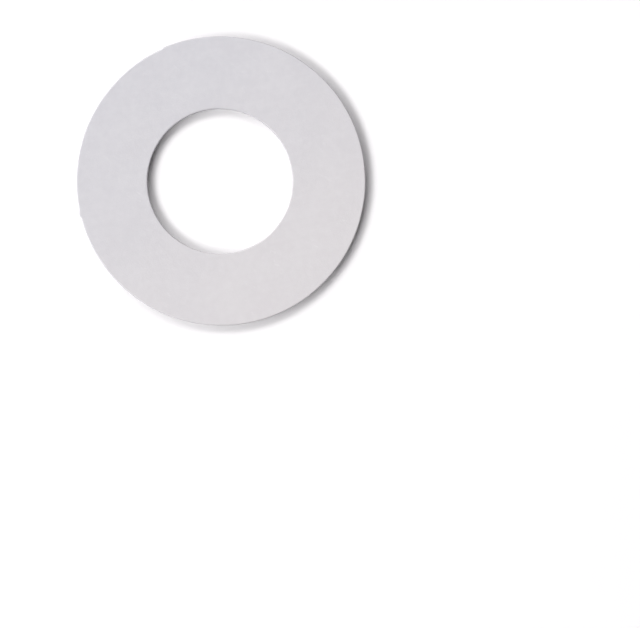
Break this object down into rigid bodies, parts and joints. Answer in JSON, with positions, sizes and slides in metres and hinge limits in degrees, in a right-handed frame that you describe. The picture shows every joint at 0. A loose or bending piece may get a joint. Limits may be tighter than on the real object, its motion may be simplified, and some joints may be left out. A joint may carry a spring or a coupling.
{
  "type": "tap washer",
  "caption": "Flat round sealing washer with a central bore, cut from pale matte sheet, that seals the tail of a tap where it passes through a basin.",
  "frame": {"origin": "centre of the bore on the lower face", "axes": "+Z along the bore's axis, from the lower face to the upper face with the rolled edges; X and Y are free, because the washer is round"},
  "size_m": [0.043, 0.043, 0.0015],
  "materials": {
    "sheet": "matte"
  },
  "bodies": {
    "root": {"washer": "sheet"}
  },
  "joints": []
}
